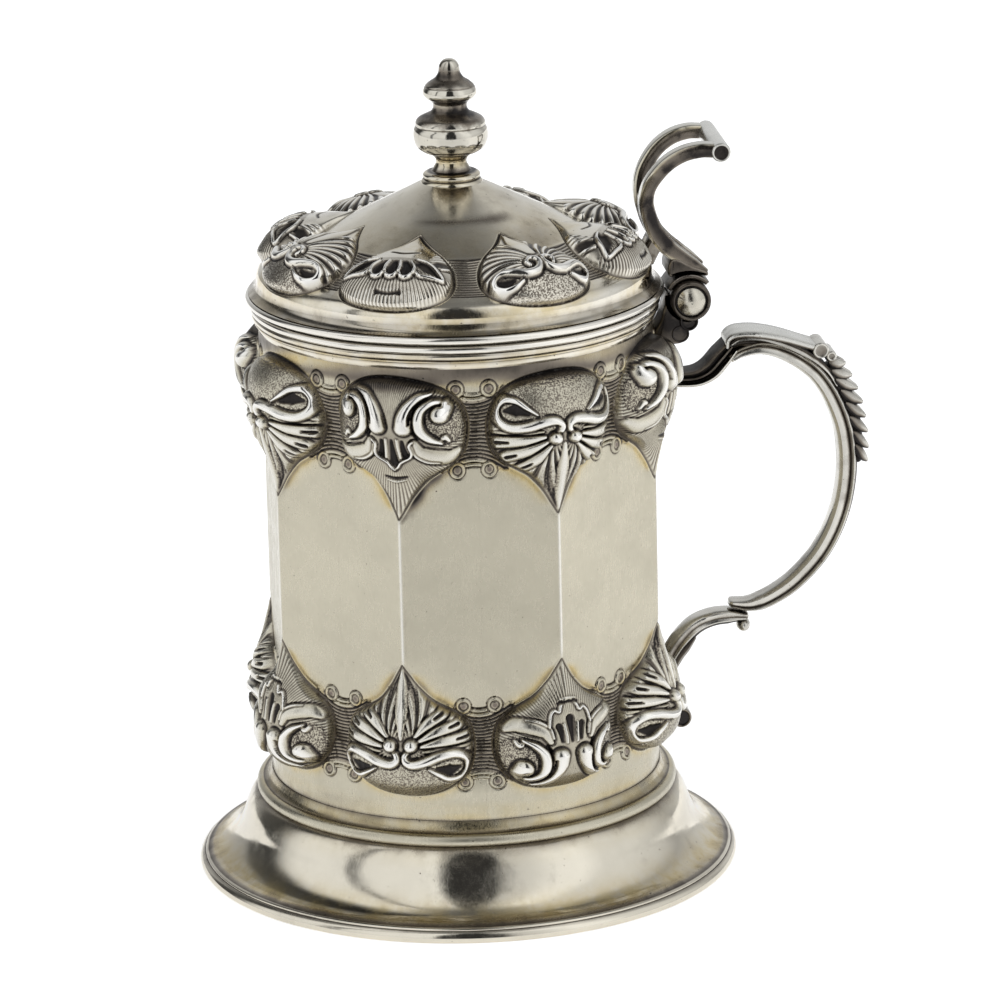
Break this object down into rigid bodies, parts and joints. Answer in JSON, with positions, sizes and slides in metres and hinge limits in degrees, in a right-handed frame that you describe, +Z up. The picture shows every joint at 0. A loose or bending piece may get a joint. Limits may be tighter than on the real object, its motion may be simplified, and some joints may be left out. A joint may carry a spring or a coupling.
{
  "type": "lidded tankard",
  "caption": "Chased octagonal drinking tankard on a bell foot, with a hinged domed lid, thumbpiece, turned finial and scroll handle.",
  "frame": {"origin": "centre of the foot ring, on the surface that the tankard stands on", "axes": "+Z up along the body's axis towards the finial, +X from the axis towards the handle and hinge, the hinge pin lies along Y"},
  "size_m": [0.1675, 0.1326, 0.2],
  "materials": {
    "polished_silver": "burnished antique silver or pewter, oxide in the grooves",
    "satin_silver": "satin antique silver or pewter, fine wear",
    "chased_silver": "chased relief, bright on the high points, dark oxide in the recesses",
    "handle_silver": "cast, half polished, oxide in the channels",
    "thumbpiece_silver": "cast, tarnished on its sides, bright on its edges",
    "oxidised_silver": "cast, heavily oxidised",
    "pin_metal": "worn bright, mottled"
  },
  "bodies": {
    "tankard": {"foot_edge_wire": "polished_silver", "foot_skirt": "polished_silver", "foot_step_ring": "polished_silver", "body_floor": "satin_silver", "body_shell": "chased_silver", "rim_moulding": "polished_silver", "hinge_bracket": "oxidised_silver", "body_knuckle_front": "oxidised_silver", "body_knuckle_back": "oxidised_silver", "hinge_pin": "pin_metal", "pin_cap_front": "pin_metal", "pin_cap_back": "pin_metal", "handle_upper_strut": "oxidised_silver", "handle_scroll": "handle_silver", "handle_web": "handle_silver", "handle_thumb_rest": "handle_silver", "thumb_rest_roll": "handle_silver", "handle_leaf": "handle_silver", "handle_lower_strut": "handle_silver", "lower_scroll_roll": "oxidised_silver", "handle_pip": "handle_silver"},
    "lid": {"lid_dome": "chased_silver", "lid_rim_wire": "polished_silver", "lid_bezel": "satin_silver", "finial_collar": "polished_silver", "finial": "polished_silver", "finial_washer": "satin_silver", "finial_nut": "satin_silver", "lid_knuckle": "oxidised_silver", "hinge_saddle": "oxidised_silver", "thumbpiece": "thumbpiece_silver", "thumbpiece_crossbar": "thumbpiece_silver"}
  },
  "joints": [
    {"name": "lid_hinge", "type": "hinge", "parent": "tankard", "child": "lid", "pos_m": [0.0565, 0, 0.1392], "axis": [0, 1, 0], "range_deg": [0, 97]}
  ]
}
